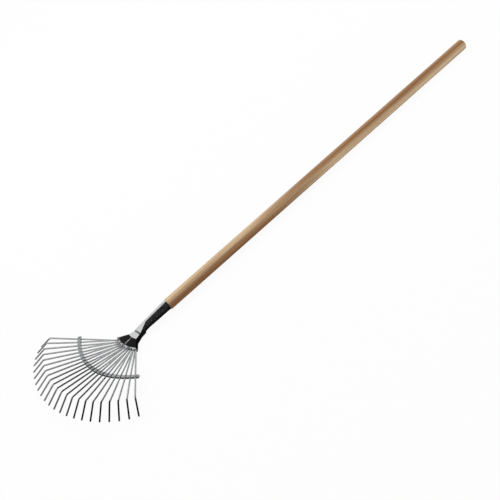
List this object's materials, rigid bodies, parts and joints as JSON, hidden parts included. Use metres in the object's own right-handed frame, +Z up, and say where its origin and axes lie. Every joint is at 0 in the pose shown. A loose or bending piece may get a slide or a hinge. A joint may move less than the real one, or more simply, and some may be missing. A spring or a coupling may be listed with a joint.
{
  "type": "garden rake",
  "caption": "Fan shaped wire leaf rake: round wooden handle, steel ferrule and hooded head, bent spring tines held by a curved band.",
  "frame": {"origin": "on the floor, under the middle of the rake's length and on its middle plane", "axes": "+Y along the rake from the handle's free end to the tines' tips, +Z up from the floor the rake lies on, +X across the fan"},
  "size_m": [0.4412, 1.4057, 0.0412],
  "materials": {
    "wood": "clear lacquered pale hardwood",
    "ferrule_steel": "bright plated sheet steel",
    "screw_steel": "plain steel",
    "head_steel": "bright plated sheet steel",
    "weld": "rough weld",
    "wire": "plated spring wire",
    "band_steel": "bright plated strip",
    "rivet_steel": "plain steel"
  },
  "bodies": {
    "root": {"handle": "wood", "ferrule": "ferrule_steel", "handle_screw": "screw_steel", "head_top": "head_steel", "head_bottom": "head_steel", "neck_weld": "weld", "tine_01": "wire", "tine_02": "wire", "tine_03": "wire", "tine_04": "wire", "tine_05": "wire", "tine_06": "wire", "tine_07": "wire", "tine_08": "wire", "tine_09": "wire", "tine_10": "wire", "tine_11": "wire", "tine_12": "wire", "tine_13": "wire", "tine_14": "wire", "tine_15": "wire", "tine_16": "wire", "tine_17": "wire", "tine_18": "wire", "tine_19": "wire", "tine_20": "wire", "tine_21": "wire", "tine_22": "wire", "band_top": "band_steel", "band_bottom": "band_steel", "band_rivets": "rivet_steel"}
  },
  "joints": []
}
